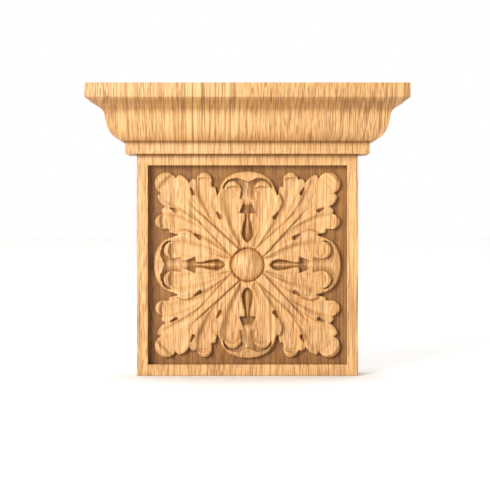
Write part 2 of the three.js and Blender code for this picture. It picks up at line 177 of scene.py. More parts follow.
# Stem along each eyelet: along, share of its full height, half width, share of the height that its
# sides keep. It is round in the slit, dips behind the first tooth and broadens to a soft bed.
STEM = [
    (11.3, 0.15, 1.2, 0.0),
    (14.5, 0.55, 1.3, 0.0),
    (19.0, 0.8, 1.3, 0.0),
    (23.0, 0.85, 1.1, 0.0),
    (25.6, 0.7, 1.0, 0.0),
    (27.2, 0.2, 1.0, 0.0),
    (29.4, 0.3, 1.2, 0.0),
    (31.0, 0.9, 1.6, 0.5),
    (33.2, 1.0, 1.8, 0.6),
    (36.2, 0.6, 2.0, 0.3),
    (39.5, 0.55, 2.2, 0.3),
    (44.0, 0.65, 2.4, 0.3),
]

# Creases at the foot of the midrib and of the side lobe's wall: half width, depth, share of painted
# shade in them, and the distances from the centre between which the second one fades
CREASE_WIDTH = 0.35
CREASE_DEPTH = 0.35
CREASE_SHADE = 0.7
LOBE_CREASE_FADE = (12.0, 24.0)

# Rounding of every leaf edge
RIM_DROP = 0.5
RIM_RUN = 0.9

# Step beside the side lobe, and the share of its arc's half angle over which it fades at each end
STEP_DROP = 0.8
STEP_RUN = 1.2
STEP_FADE = 0.5

# Groove round the button, scoop below the folded tip, run over which the tip's foot joins the leaf
GROOVE_DEPTH = 1.2
GROOVE_WIDTH = 0.6
SCOOP_RISE = 0.4
SCOOP_RUN = 1.0
TAIL_RUN = 1.5

# How far closed loops reach past the axis and the centre, so that points there lie inside
LOOP_MARGIN = 1.0

# Height above the ground up to which painted shade darkens the wood, most on the ground itself
SHADE_HEIGHT = 2.3

# Points closer than this are one point, in metres
TOUCH = 1e-7

# Cyma of the cornice: overhang from the block and rise above the band of its bends, and the bulge of
# the arc to the next one
CYMA_FOOT_BULGE = 0.282
CYMA_BENDS = [(13.5, 6.5, 0.06), (14.9, 12.6, -0.171), (16.7, 16.05, -0.079)]

# Painted shade in the mouldings' crevices: overhang, rise above the foot of the band, reach, share
SHADED_CREVICES = [(0.0, 0.0, 1.2, 1.0), (5.4, 6.0, 1.5, 1.0), (17.6, 22.0, 3.2, 0.55), (20.0, 25.0, 3.6, 0.5)]

# Spacing of the profile's extra points beside a crevice, and how far they go, to carry its painted shade
CREVICE_STEP = 0.5
CREVICE_SPAN = 2.5

# Points on each span of a smooth line, largest turn between points of an arc, least turn that is
# eased and the chords of its arc
SPLINE_STEPS = 4
ARC_STEP = math.radians(6)
EASE_TURN = math.radians(40)
EASE_STEPS = 3

# Stretches of the profile longer than this are shaded flat, and edges sharper than this stay crisp
STRAIGHT_RUN = 3.0
SHARP_ANGLE = math.radians(38)

# Corners of a square, anticlockwise from the lower left
SQUARE_SIGNS = [(-1, -1), (1, -1), (1, 1), (-1, 1)]

# Oak's patterns, stretched along the grain: which cell width and length they have, how many times
# deeper than wide a cell is, octaves of detail, and the lowest and highest value that shows
PATTERNS = {
    "figure": {"cell": "figure", "deeper": 4.0, "detail": 2.0, "shown": (0.0, 1.0)},
    "band": {"cell": "band", "deeper": 6.0, "detail": 2.0, "shown": (0.36, 0.64)},
    "streak": {"cell": "streak", "deeper": 30.0, "detail": 2.0, "shown": (0.42, 0.64)},
    "line": {"cell": "line", "deeper": 60.0, "detail": 1.0, "shown": (0.51, 0.6)},
    "gap": {"cell": "streak", "deeper": 30.0, "detail": 2.0, "shown": (0.3, 0.5)},
    "fleck": {"cell": "fleck", "deeper": 30.0, "detail": 1.0, "shown": (0.48, 0.58)},
}

# Patterns that end grain cuts short, and the shift from one pattern to the next, in cells
PORE_PATTERNS = ("streak", "line", "fleck")
PATTERN_SHIFT = (7.3, 3.1, 5.7)

# Sway of the grain: how many times shorter it is across the board, and its octaves of detail
SWAY_ACROSS = 2.0
SWAY_DETAIL = 1.0

# Growth rings: how far they lean back into the depth, how many the figure shifts, and the parts of a
# ring's width where its dark line starts and is full
RING_LEAN = 0.15
RING_ARCHES = 6.0
RING_LINE = (0.62, 0.97)

# Part of a face's direction from which it shows the edge of the board, where it looks sideways, or
# its end grain, where it looks up or down; how many times shorter the pores are there in the depth
SIDE_FACING = 0.8
END_FACING = 0.998
END_SHORTENING = 30.0

# How strongly each layer of colour covers the wood below it
LAYER_STRENGTH = {"band": 0.45, "streak": 0.15, "ring": 0.5, "pores": 0.76, "end": 0.3, "painted_shade": 1.0}

# Surface of the oak: roughness between the pores and in them, depth of the pores in millimetres and
# how much of it shows, index of refraction of the oil
OAK_ROUGHNESS = (0.5, 0.68)
PORE_DEPTH = 0.1
PORE_STRENGTH = 0.25
OIL_IOR = 1.5

# Floor: how far it reaches in metres, its gap below the capital in millimetres, its roughness
FLOOR_REACH = 20.0
FLOOR_GAP = 0.1
FLOOR_ROUGHNESS = 0.9

# Surroundings: parts of a direction, towards the back or up, over which the room turns to the
# backdrop and over which the ceiling comes in
BACKDROP_FROM = -0.1
BACKDROP_FULL = 0.5
CEILING_FROM = 0.3
CEILING_FULL = 0.8

# Soft lights: place, width and height in metres, and the angle over which overhead light spreads
SOFTBOX = {"place": (-2.139, -3.172, 1.242), "width": 1.8, "height": 1.5}
REFLECTOR = {"place": (0.0, -0.7, 0.03), "width": 1.2, "height": 0.4}
OVERHEAD_SPREAD = math.radians(20)

# Camera: width of the sensor in millimetres, shift of the picture in widths of it
SENSOR_WIDTH = 36.0
SHIFT_ACROSS = -0.0051
SHIFT_UP = -0.032


def to_linear(code):
    """Linear colour of an sRGB hex code such as "#C8A06E", with an alpha of 1."""
    shares = [int(code[i:i + 2], 16) / 255 for i in (1, 3, 5)]
    linear = [s / 12.92 if s <= 0.04045 else ((s + 0.055) / 1.055) ** 2.4 for s in shares]
    return (*linear, 1.0)


def length_setting(name, millimetres, description):
    """Length property with its default in millimetres."""
    return FloatProperty(
        name=name,
        description=description,
        default=millimetres * MM,
        min=0.0,
        precision=5,
        unit="LENGTH",
    )


def colour_setting(name, code, description):
    """Colour property with its default as an sRGB hex code."""
    return FloatVectorProperty(
        name=name,
        description=description,
        default=to_linear(code),
        size=4,
        min=0.0,
        max=1.0,
        subtype="COLOR",
    )


def studio_setting(name, default, description, unit="NONE"):
    """Number property of a lens or a light, in the unit given."""
    return FloatProperty(name=name, description=description, default=default, unit=unit)


class MouldingSizes(bpy.types.PropertyGroup):
    """Sizes of the block, its panel and the cornice."""

    frame_width: length_setting("Frame width", 5.6, "Flat frame round the sunk panel")
    panel_depth: length_setting("Panel depth", 5.2, "Depth of the panel's ground below the frame")
    band_overhang: length_setting("Band overhang", 5.4, "How far the plain band stands out from the block")
    band_height: length_setting("Band height", 6.0, "Height of the plain band")
    slab_overhang: length_setting("Slab overhang", 24.0, "How far the top slab stands out from the block")
    slab_height: length_setting("Slab height", 7.0, "Height of the top slab")
    cyma_height: length_setting("Cyma height", 21.0, "Height of the double curve between band and slab")
    arris: length_setting("Eased arris", 0.25, "Radius that sanding leaves on every outer edge")


class RosetteSizes(bpy.types.PropertyGroup):
    """Heights of the carving above the panel's ground, and the fineness of its surface."""

    fold_crest: length_setting("Fold crest", 3.9, "Height of the folded tip along its inner edge")
    fold_rim: length_setting("Fold rim", 2.3, "Height of the folded tip along its outer edge")
    eyelet_floor: length_setting("Eyelet floor", 0.2, "Height of the hollows between the side lobes")
    eye_floor: length_setting("Eye floor", 1.2, "Height of the floor of the drilled eyes")
    stem_top: length_setting("Stem top", 2.4, "Greatest height of the stem in each eyelet")
    button_radius: length_setting("Button radius", 8.3, "Radius of the round button")
    button_rim: length_setting("Button rim", 1.8, "Height of the button at its rim")
    button_top: length_setting("Button top", 7.6, "Height of the button in its middle")
    cells: IntProperty(
        name="Cells",
        description="Cells of the carved surface across the panel",
        default=300,
    )


class OakFinish(bpy.types.PropertyGroup):
    """Colours and sizes of oiled oak."""

    pale: colour_setting("Pale wood", "#D9AD71", "Pale latewood")
    honey: colour_setting("Honey wood", "#CE955C", "Honey-coloured wood in broad bands")
    early: colour_setting("Earlywood", "#9C642F", "Porous lines at the start of each year's ring")
    fleck: colour_setting("Flecks", "#825428", "Dark pores along the grain")
    # Painted shade: the tint that darkens the deep ground, creases and crevices; end grain borrows it
    painted_shade: colour_setting("Painted shade", "#B19A5E", "Tint of the painted shade on the deep ground, also used for end grain")
    ring_spacing: length_setting("Ring spacing", 4.2, "Distance between growth rings")
    figure_width: length_setting("Figure width", 26.0, "Width of the arches that the rings make")
    figure_length: length_setting("Figure length", 170.0, "Length of the arches that the rings make")
    sway: length_setting("Sway", 4.0, "How far the grain sways to the side")
    sway_length: length_setting("Sway length", 120.0, "Length over which the grain sways")
    band_width: length_setting("Band width", 14.0, "Width of the broad bands of colour")
    band_length: length_setting("Band length", 336.0, "Length of the broad bands of colour")
    streak_width: length_setting("Streak width", 1.6, "Width of the soft streaks along the grain")
    streak_length: length_setting("Streak length", 50.0, "Length of the soft streaks along the grain")
    line_width: length_setting("Line width", 0.7, "Spacing of the crisp dark lines along the grain")
    line_length: length_setting("Line length", 60.0, "Length of the crisp dark lines along the grain")
    fleck_width: length_setting("Fleck width", 0.45, "Spacing of the flecks across the grain")
    fleck_length: length_setting("Fleck length", 7.0, "Length of the flecks")


class StudioSettings(bpy.types.PropertyGroup):
    """Camera, lights and floor."""

    distance: length_setting("Camera distance", 794.0, "Distance of the camera from the capital's back")
    eye_height: length_setting("Camera height", 74.0, "Height of the camera above the floor")
    lens: studio_setting("Lens", 112.4, "Focal length", "CAMERA")
    key_power: studio_setting("Key light", 196.0, "Power of the softbox", "POWER")
    reflector: studio_setting("Reflector", 0.7, "Power of the low card", "POWER")
    overhead: studio_setting("Overhead light", 0.8, "Strength of the light from above")
    ceiling: studio_setting("Ceiling", 0.65, "Brightness that the ceiling adds")
    room: studio_setting("Room", 0.1, "Brightness of the room on the camera's side")
    backdrop: studio_setting("Backdrop", 1.0, "Brightness of the white far side")
    floor: colour_setting("Floor", "#EEEDEB", "Pale matt floor")


def octant(x, z):
    """Folds the panel on its mirror lines: the nearer axis gives across, the other gives along."""
    return np.minimum(abs(x), abs(z)) + 1j * np.maximum(abs(x), abs(z))


def unfold(point, x, z):
    """Puts an octant's point back where x and z were folded from."""
    upright = abs(x) <= abs(z)
    across = np.where(upright, point.real, point.imag) * np.sign(x)
    along = np.where(upright, point.imag, point.real) * np.sign(z)
    return across, along


def on_arc(start, end, angle, share):
    """Points at shares of an arc's angle.

    At a part of the angle the point is the chord, turned back by half of the angle still to go, and
    shortened to the ratio of the sines of the two half angles.
    """
    part = angle * share
    reach = np.sin(part / 2) / np.sin(angle / 2)
    return start + (end - start) * reach * np.exp(0.5j * (part - angle))


def arc(start, end, bulge):
    """Points from start towards end along an arc, without end."""
    angle = 4 * math.atan(bulge)
    count = math.ceil(abs(angle) / ARC_STEP)
    if count < 2:
        return np.array([start])
    return on_arc(start, end, angle, np.arange(count) / count)


def trace(rows):
    """Polyline in metres, as complex numbers, through rows of across, along and bulge."""
    knots = [complex(across, along) * MM for across, along, _ in rows]
    arcs = [arc(p, q, row[2]) for p, q, row in zip(knots, knots[1:], rows)]
    return np.concatenate([*arcs, knots[-1:]])


def fold_edge():
    """Folded tip's outer edge: a superellipse, from the axis down to its foot."""
    angle = np.linspace(math.pi / 2, FOLD["foot_angle"], FOLD["steps"] + 1)[:-1]
    across = FOLD["half_width"] * np.cos(angle) ** (2 / FOLD["power"])
    along = FOLD["springing"] + FOLD["rise"] * np.sin(angle) ** (2 / FOLD["power"])
    return (across + 1j * along) * MM


def in_axis(line):
    """Mirror image of a line in the axis."""
    return -np.conj(line)


def in_diagonal(line):
    """Mirror image of a line in the diagonal."""
    return 1j * np.conj(line)


def nearest(points, *lines):
    """Nearest point of some polylines to each point, and how many segments along its line it is."""
    found = np.zeros(points.shape, complex)
    place = np.zeros(points.shape)
    best = np.full(points.shape, np.inf)
    for line in lines:
        for index, (start, end) in enumerate(zip(line[:-1], line[1:])):
            chord = end - start
            share = np.clip(((points - start) * np.conj(chord)).real / abs(chord) ** 2, 0, 1)
            spot = start + share * chord
            gap = abs(points - spot)
            closer = gap < best
            best = np.where(closer, gap, best)
            found = np.where(closer, spot, found)
            place = np.where(closer, index + share, place)
    return found, place


def gap_to(points, *lines):
    """Distance of each point from the nearest of some polylines."""
    return abs(points - nearest(points, *lines)[0])


def within(points, loop):
    """True where a ray across from the point crosses the closed loop an odd number of times."""
    crossed = np.zeros(points.shape, bool)
    for start, end in zip(loop, np.roll(loop, -1)):
        rise = end.imag - start.imag
        if rise == 0:
            continue
        spanned = (start.imag > points.imag) != (end.imag > points.imag)
        crossing = start.real + (points.imag - start.imag) * (end.real - start.real) / rise
        crossed ^= spanned & (points.real < crossing)
    return crossed


def smooth(share):
    """Smooth step: level at 0 and 1, three squares less two cubes between."""
    share = np.clip(share, 0, 1)
    return share * share * (3 - 2 * share)


def spline(knots):
    """Smooth line through rows of numbers, as rows.

    Each span is the cubic that leaves and reaches its knots with the mean step of the spans beside.
    """
    knots = np.array(knots)
    slopes = np.gradient(knots, axis=0)
    share = (np.arange(SPLINE_STEPS) / SPLINE_STEPS)[:, None]
    start, end = knots[:-1, None], knots[1:, None]
    bend = (1 - share) * (slopes[:-1, None] - end + start) - share * (slopes[1:, None] - end + start)
    rows = start + (end - start) * share + share * (1 - share) * bend
    return np.concatenate([rows.reshape(-1, knots.shape[1]), knots[-1:]])


def guided(points):
    """Height that the guide lines give: their heights' mean, weighted by closeness to a power.

    The distance is rounded off close to a line, so that crests and floors are soft.
    """
    guides = [spline(knots) * MM for knots in GUIDES + DIAGONAL_GUIDES]
    plans = [guide[:, 0] + 1j * guide[:, 1] for guide in guides]
    mirrored = range(len(GUIDES), len(guides))
    plans += [in_diagonal(plans[i]) for i in mirrored]
    heights = [guide[:, 2] for guide in guides]
    heights += [heights[i] for i in mirrored]
    total = np.zeros(points.shape)
    weights = np.zeros(points.shape)
    for plan, height in zip(plans, heights):
        spot, place = nearest(points, plan)
        weight = (abs(points - spot) ** 2 / MM ** 2 + GUIDE_ROUNDING ** 2) ** (-GUIDE_POWER / 2)
        total += weight * np.interp(place, np.arange(len(height)), height)
        weights += weight
    return total / weights


def midrib(points):
    """Rise of the midrib and the share of the crease at its foot.

    The rib runs along the diagonal with a flat top and smooth walls, and sinks outwards. The crease
    is a bell curve of the distance from the foot of a wall.
    """
    turned = points * np.exp(-0.25j * math.pi) / MM
    share = np.clip((turned.real - MIDRIB["from"]) / (MIDRIB["to"] - MIDRIB["from"]), 0, 1)
    half_width = MIDRIB["half_width"] + (MIDRIB["end_half_width"] - MIDRIB["half_width"]) * share
    wall = smooth((half_width - abs(turned.imag)) / MIDRIB["wall"] + 0.5)
    sinking = 1 - smooth((turned.real - MIDRIB["full"]) / (MIDRIB["to"] - MIDRIB["full"]))
    foot_gap = abs(turned.imag) - half_width - MIDRIB["wall"] / 2
    return MIDRIB["rise"] * MM * wall * sinking, np.exp(-(foot_gap / CREASE_WIDTH) ** 2) * sinking


def lobe_crease(points):
    """Share of the crease at the foot of the side lobe's wall: a bell curve that fades outwards."""
    foot = spline(LOBE_FOOT)
    gap = gap_to(points, (foot[:, 0] + 1j * foot[:, 1]) * MM)
    start, end = LOBE_CREASE_FADE
    fading = 1 - smooth((abs(points) / MM - start) / (end - start))
    return np.exp(-(gap / (CREASE_WIDTH * MM)) ** 2) * fading


def eye(points, hole):
    """How far inside a drilled eye: radius of a drop, round at the foot and drawn out to a point."""
    foot = complex(*hole["round"])
    drawn = complex(*hole["point"]) - foot
    share = np.clip(((points / MM - foot) * np.conj(drawn)).real / abs(drawn) ** 2, 0, 1)
    radius = hole["radius"] + (EYE_POINT_RADIUS - hole["radius"]) * share
    return radius * MM - abs(points - (foot + share * drawn) * MM)


def lobe_step(points):
    """Drop beside the side lobe's outer edge: greatest at the edge, dying out over the middle lobe.

    The edge is an arc, so a point is beyond it where it is further from the arc's centre than the
    arc's radius. The drop fades at both ends of the arc.
    """
    (across, along, bulge), (end_across, end_along, _) = SIDE_LOBE_EDGE
    start, end = complex(across, along), complex(end_across, end_along)
    chord = end - start
    middle = (start + end) / 2
    to_centre = (1 - bulge ** 2) / (4 * bulge) * 1j * chord
    centre = (middle + to_centre) * MM
    radius = abs(start * MM - centre)
    beyond = abs(points - centre) - radius
    turn = abs(np.angle((points - centre) / (middle * MM - centre)))
    half_angle = 2 * math.atan(abs(bulge))
    fade = 1 - smooth((turn - half_angle) / (STEP_FADE * half_angle) + 0.5)
    return np.where(beyond > 0, STEP_DROP * MM * np.exp(-beyond / (STEP_RUN * MM)) * fade, 0)


class Pattern:
    """Outlines of the rosette's octant, with the mirror images that come near it."""

    def __init__(self):
        fold = fold_edge()
        leaf = np.concatenate([fold, trace(CORNER_LEAF)])
        eyelet = trace(EYELET)
        brace = trace(BRACE)
        self.leaf_lines = [leaf, in_axis(leaf), in_diagonal(leaf)]
        self.eyelet_lines = [eyelet, in_axis(eyelet)]
        self.brace_lines = [brace, in_axis(brace)]
        self.fold_lines = [fold, in_axis(fold)]
        self.tail = np.array([fold[-1], brace[0]])
        self.step_line = trace(SIDE_LOBE_EDGE)
        past = -LOOP_MARGIN * MM
        corners = [leaf[-1].real + 1j * past, past + 1j * past, past + 1j * leaf[0].imag]
        self.leaf_loop = np.concatenate([leaf, corners])
        self.eyelet_loop = np.concatenate([eyelet, eyelet[[-1, 0]] + past])
        self.fold_loop = np.concatenate([fold, brace, [brace[-1] + past, fold[0] + past]])


def snapped(points, pattern, sizes, cell):
    """Moves each point that is nearest to an outline onto it.

    A point is the nearest of its row or column where its gap is at most half a cell, measured along
    the one that crosses the outline more squarely. The button's edge is a circle about the centre.
    """
    lines = [*pattern.leaf_lines, *pattern.eyelet_lines, pattern.step_line]
    spot, _ = nearest(points, *lines)
    on_button = points / np.maximum(abs(points), MM) * sizes.button_radius
    spot = np.where(abs(points - on_button) < abs(points - spot), on_button, spot)
    gap = points - spot
    reach = cell / 2 * np.maximum(abs(gap.real), abs(gap.imag))
    on_line = abs(gap) ** 2 <= reach
    return np.where(on_line, spot, points)


def leaf_height(points, pattern, sizes):
    """Height of the leaves, and the share of the creases in them.

    The height is what the guides give, with the midrib, less steps, creases, groove, edges and eyes.
    """
    rib, crease = midrib(points)
    crease = np.maximum(crease, lobe_crease(points))
    height = guided(points) + rib - lobe_step(points) - CREASE_DEPTH * MM * crease
    groove = (abs(points) - sizes.button_radius) / (GROOVE_WIDTH * MM)
    height -= GROOVE_DEPTH * MM * np.exp(-groove ** 2)
    edge_gap = gap_to(points, *pattern.leaf_lines, *pattern.eyelet_lines)
    height -= RIM_DROP * MM * (1 - np.clip(edge_gap / (RIM_RUN * MM), 0, 1)) ** 2
    for hole in EYES:
        height += (sizes.eye_floor - height) * smooth(eye(points, hole) / (EYE_SLOPE_WIDTH * MM))
    return height, crease


def fold_height(points, pattern, sizes):
    """Height of the folded tip: from its rim up to its crest along the brace."""
    to_rim = gap_to(points, *pattern.fold_lines)
    to_brace = gap_to(points, *pattern.brace_lines)
    share = to_rim / np.maximum(to_rim + to_brace, TOUCH)
    return sizes.fold_rim + (sizes.fold_crest - sizes.fold_rim) * np.sqrt(share)


def eyelet_height(points, pattern, sizes):
    """Height in the eyelet: a bell-shaped stem on a level floor, scooped up to the brace."""
    along, *columns = spline(STEM).T
    share, half_width, shoulder = (np.interp(points.imag / MM, along, column) for column in columns)
    rounded = shoulder + (1 - shoulder) * np.exp(-(points.real / (half_width * MM)) ** 2)
    scoop = SCOOP_RISE * MM * np.exp(-gap_to(points, *pattern.brace_lines) / (SCOOP_RUN * MM))
    return sizes.eyelet_floor + (sizes.stem_top - sizes.eyelet_floor) * share * rounded + scoop


def button_height(radius, sizes):
    """Height of the button: half an ellipse of the distance from its middle, on its rim."""
    dome = np.sqrt(np.clip(1 - (radius / sizes.button_radius) ** 2, 0, 1))
    return sizes.button_rim + (sizes.button_top - sizes.button_rim) * dome


def shade_by_height(height):
    """Share of painted shade, from 1 on the panel's ground to 0 at a height above it."""
    return smooth(1 - height / (SHADE_HEIGHT * MM))


def carved_panel(sizes, width):
    """Grid over the panel, with its points on the outlines, their height and share of painted shade.

    On a leaf's outline a point takes the leaf's height, so a wall falls within one cell.
    """
    line = np.linspace(-width / 2, width / 2, sizes.cells + 1)
    x, z = np.meshgrid(line, line, indexing="ij")
    pattern = Pattern()
    points = snapped(octant(x, z), pattern, sizes, width / sizes.cells)
    radius = abs(points)
    in_leaf = within(points, pattern.leaf_loop) | (gap_to(points, *pattern.leaf_lines) < TOUCH)
    in_eyelet = within(points, pattern.eyelet_loop) & (gap_to(points, *pattern.eyelet_lines) > TOUCH)
    in_fold = within(points, pattern.fold_loop) | (gap_to(points, *pattern.fold_lines) < TOUCH)
    in_button = radius < sizes.button_radius + TOUCH

    leaf, crease = leaf_height(points, pattern, sizes)
    fold_share = np.where(in_fold, smooth(gap_to(points, pattern.tail) / (TAIL_RUN * MM)), 0)
    leaf += (fold_height(points, pattern, sizes) - leaf) * fold_share
    height = np.where(in_leaf, leaf, 0)
    height = np.where(in_eyelet, eyelet_height(points, pattern, sizes), height)
    height = np.where(in_button, button_height(radius, sizes), height)

    creased = in_leaf & ~in_eyelet & ~in_fold & ~in_button
    # Painted shade: darker the lower the surface lies, and in the creases
    painted_shade = np.maximum(shade_by_height(height), np.where(creased, CREASE_SHADE * crease, 0))
    x, z = unfold(points, x, z)
    return x, z, height, painted_shade


def grid_triangles(height):
    """Two triangles for each cell, split along the diagonal whose ends differ less in height.

    The corners a, b, c and d go round the cell.
    """
    index = np.arange(height.size).reshape(height.shape)
    a, b, c, d = index[:-1, :-1], index[1:, :-1], index[1:, 1:], index[:-1, 1:]
    flat = height.ravel()
    rising = abs(flat[a] - flat[c]) < abs(flat[b] - flat[d])
    first = np.where(rising[..., None], np.stack([a, b, c], -1), np.stack([a, b, d], -1))
    second = np.where(rising[..., None], np.stack([a, c, d], -1), np.stack([b, c, d], -1))
    return np.concatenate([first.reshape(-1, 3), second.reshape(-1, 3)])


def band_of_quads(rows, columns):
    """Faces between neighbouring rows and columns of a grid of points."""
    index = np.arange(rows * columns).reshape(rows, columns)
    return np.stack([index[:-1, :-1], index[:-1, 1:], index[1:, 1:], index[1:, :-1]], -1)


def eased(line, radius):
    """Polyline with each sharp turn to the left replaced by a short arc that touches both sides.

    The arc starts and ends at the radius times the tangent of half the turn from the corner.
    """
    corner = line[1:-1]
    back = line[:-2] - corner
    ahead = line[2:] - corner
    turn = np.angle(-ahead / back)
    sharp = turn >= EASE_TURN
    turn = np.where(sharp, turn, EASE_TURN)
    length = radius * np.tan(turn / 2)
    start = corner + back / abs(back) * length
    end = corner + ahead / abs(ahead) * length
    share = np.linspace(0, 1, EASE_STEPS + 1)
    arcs = on_arc(start[:, None], end[:, None], turn[:, None], share)
    points = np.where(sharp[:, None], arcs, corner[:, None])
    kept = sharp[:, None] | (share == 0)
    return np.concatenate([line[:1], points[kept], line[-1:]])


class Block:
    """Places of the block's main planes, worked out from the frame and the moulding sizes."""

    def __init__(self, sizes):
        self.back = HIGH.y
        self.front = LOW.y + sizes.slab_overhang
        self.half_width = HIGH.x - sizes.slab_overhang
        self.band_foot = HIGH.z - sizes.slab_height - sizes.cyma_height - sizes.band_height
        self.panel_half = self.half_width - sizes.frame_width
        self.panel_middle = self.band_foot / 2
        self.ground = self.front + sizes.panel_depth


def cornice_profile(sizes, block):
    """Profile of the whole capital, overhang by height, from the underside up to the top."""
    band_foot = block.band_foot / MM
    band_top = band_foot + sizes.band_height / MM
    slab_foot = band_top + sizes.cyma_height / MM
    band = sizes.band_overhang / MM
    slab = sizes.slab_overhang / MM
    inset = 2 * sizes.arris / MM
    nearing = np.arange(CREVICE_SPAN, 0, -CREVICE_STEP)
    leaving = nearing[:0:-1]
    line = trace([
        (-inset, 0.0, 0.0),
        (0.0, 0.0, 0.0),
        *((0.0, band_foot - gap, 0.0) for gap in nearing),
        (0.0, band_foot, 0.0),
        *((gap, band_foot, 0.0) for gap in leaving),
        (band, band_foot, 0.0),
        *((band, band_top - gap, 0.0) for gap in nearing),
        (band, band_top, CYMA_FOOT_BULGE),
        *((overhang, band_top + rise, bulge) for overhang, rise, bulge in CYMA_BENDS),
        (slab, slab_foot, 0.0),
        (slab, HIGH.z / MM, 0.0),
        (slab - inset, HIGH.z / MM, 0.0),
    ])
    return eased(line, sizes.arris)


def near_crevices(profile, block):
    """Share of painted shade along the profile: a bell curve of the distance from each crevice."""
    share = np.zeros(len(profile))
    for overhang, rise, reach, strength in SHADED_CREVICES:
        gap = abs(profile - complex(overhang, rise) * MM - 1j * block.band_foot)
        share = np.maximum(share, strength * np.exp(-(gap / (reach * MM)) ** 2))
    return share


def moulding_rings(profile, sizes, block):
    """The profile carried along the left side, the front and the right side of the block.

    Each profile point gives one ring of points in plan: back left, a small quarter circle round
    each front corner, and back right.
    """
    quarter = np.linspace(0, math.pi / 2, EASE_STEPS + 1)
    half = block.half_width + profile.real[:, None]
    depth = block.front - profile.real[:, None]
    round_x = half - sizes.arris + sizes.arris * np.sin(quarter)
    round_y = depth + sizes.arris - sizes.arris * np.cos(quarter)
    back = np.full_like(half, block.back)
    x = np.hstack([-half, -round_x[:, ::-1], round_x, half])
    y = np.hstack([back, round_y[:, ::-1], round_y, back])
    z = np.broadcast_to(profile.imag[:, None], x.shape)
    return np.stack([x, y, z], -1)


class Shell:
    """Collects points and faces of a mesh, each face with its own shading."""

    def __init__(self):
        self.points, self.painted_shade = [], []
        self.corners, self.counts, self.flat = [], [], []
        self.total = 0

    def add(self, points, faces, flat, painted_shade=None):
        """Adds points and faces, given as rows of point numbers of equal length."""
        points = np.asarray(points, float).reshape(-1, 3)
        faces = np.asarray(faces).reshape(-1, np.shape(faces)[-1])
        self.points.append(points)
        painted_shade = np.zeros(len(points)) if painted_shade is None else np.ravel(painted_shade)
        self.painted_shade.append(painted_shade[faces.ravel()])
        self.corners.append(faces.ravel() + self.total)
        self.counts.append(np.full(len(faces), faces.shape[1]))
        self.flat.append(np.broadcast_to(flat, len(faces)))
        self.total += len(points)

    def add_polygon(self, points, painted_shade=None):
        """Adds one flat face round its points."""
        self.add(points, [np.arange(len(points))], True, painted_shade)

    def mesh(self, name):
        """Mesh of all that was added, with points that coincide merged and faces turned outwards."""
        counts = np.concatenate(self.counts)
        mesh = bpy.data.meshes.new(name)
        mesh.vertices.add(self.total)
        mesh.vertices.foreach_set("co", np.concatenate(self.points).ravel())
        mesh.loops.add(int(counts.sum()))
        mesh.loops.foreach_set("vertex_index", np.concatenate(self.corners))
        mesh.polygons.add(len(counts))
        mesh.polygons.foreach_set("loop_start", np.concatenate([[0], np.cumsum(counts)[:-1]]))
        mesh.polygons.foreach_set("use_smooth", ~np.concatenate(self.flat))
        # Painted shade at each face corner, which the material reads
        painted_shade = mesh.attributes.new("painted_shade", "FLOAT", "CORNER")
        painted_shade.data.foreach_set("value", np.concatenate(self.painted_shade))
        mesh.update(calc_edges=True)
        shell = bmesh.new()
        shell.from_mesh(mesh)
        bmesh.ops.remove_doubles(shell, verts=shell.verts, dist=TOUCH)
        bmesh.ops.dissolve_degenerate(shell, edges=shell.edges, dist=TOUCH)
        bmesh.ops.recalc_face_normals(shell, faces=shell.faces)
        shell.to_mesh(mesh)
        shell.free()
        mesh.set_sharp_from_angle(angle=SHARP_ANGLE)
        return mesh


def add_mouldings(shell, sizes, block):
    """Adds the mouldings, the underside, the top and the back, and gives the front's corners.

    The profile's longest stretch is the block. Its front face is left open for the panel's frame.
    """
    profile = cornice_profile(sizes, block)
    rings = moulding_rings(profile, sizes, block)
    rows, columns = rings.shape[:2]
    quads = band_of_quads(rows, columns)
    runs = abs(np.diff(profile))
    foot = int(np.argmax(runs))
    front = columns // 2 - 1
    kept = np.ones(quads.shape[:2], bool)
    kept[foot, front] = False
    flat = np.broadcast_to(runs[:, None] > STRAIGHT_RUN * MM, kept.shape)
    # Painted shade in the crevices of the mouldings, carried round every ring
    crevice_shade = np.repeat(near_crevices(profile, block), columns)
    shell.add(rings, quads[kept], flat[kept], crevice_shade)
    shell.add_polygon(rings[0])
    shell.add_polygon(rings[-1])
    shell.add_polygon(np.concatenate([rings[:, 0], rings[::-1, -1]]))
    return rings[[foot, foot, foot + 1, foot + 1], [front, front + 1, front + 1, front]]


def add_frame(shell, outer, sizes, block):
    """Adds the flat frame with its eased inner arris, and gives the top corners of the panel's walls.

    The arris is a quarter circle, carried round squares about the panel's middle.
    """
    quarter = np.linspace(0, math.pi / 2, EASE_STEPS + 1)[:, None]
    half = block.panel_half + sizes.arris * (1 - np.cos(quarter))
    depth = block.front + sizes.arris * (1 - np.sin(quarter))
    signs = np.array(SQUARE_SIGNS)
    x = half * signs[:, 0]
    z = half * signs[:, 1] + block.panel_middle
    squares = np.stack([x, np.broadcast_to(depth, x.shape), z], -1)
    closed = np.concatenate([squares, squares[:, :1]], 1)
    shell.add(closed, band_of_quads(*closed.shape[:2]), False)
    inner = squares[-1]
    for side in range(4):
        following = (side + 1) % 4
        shell.add_polygon([outer[side], outer[following], inner[following], inner[side]])
    return squares[0]


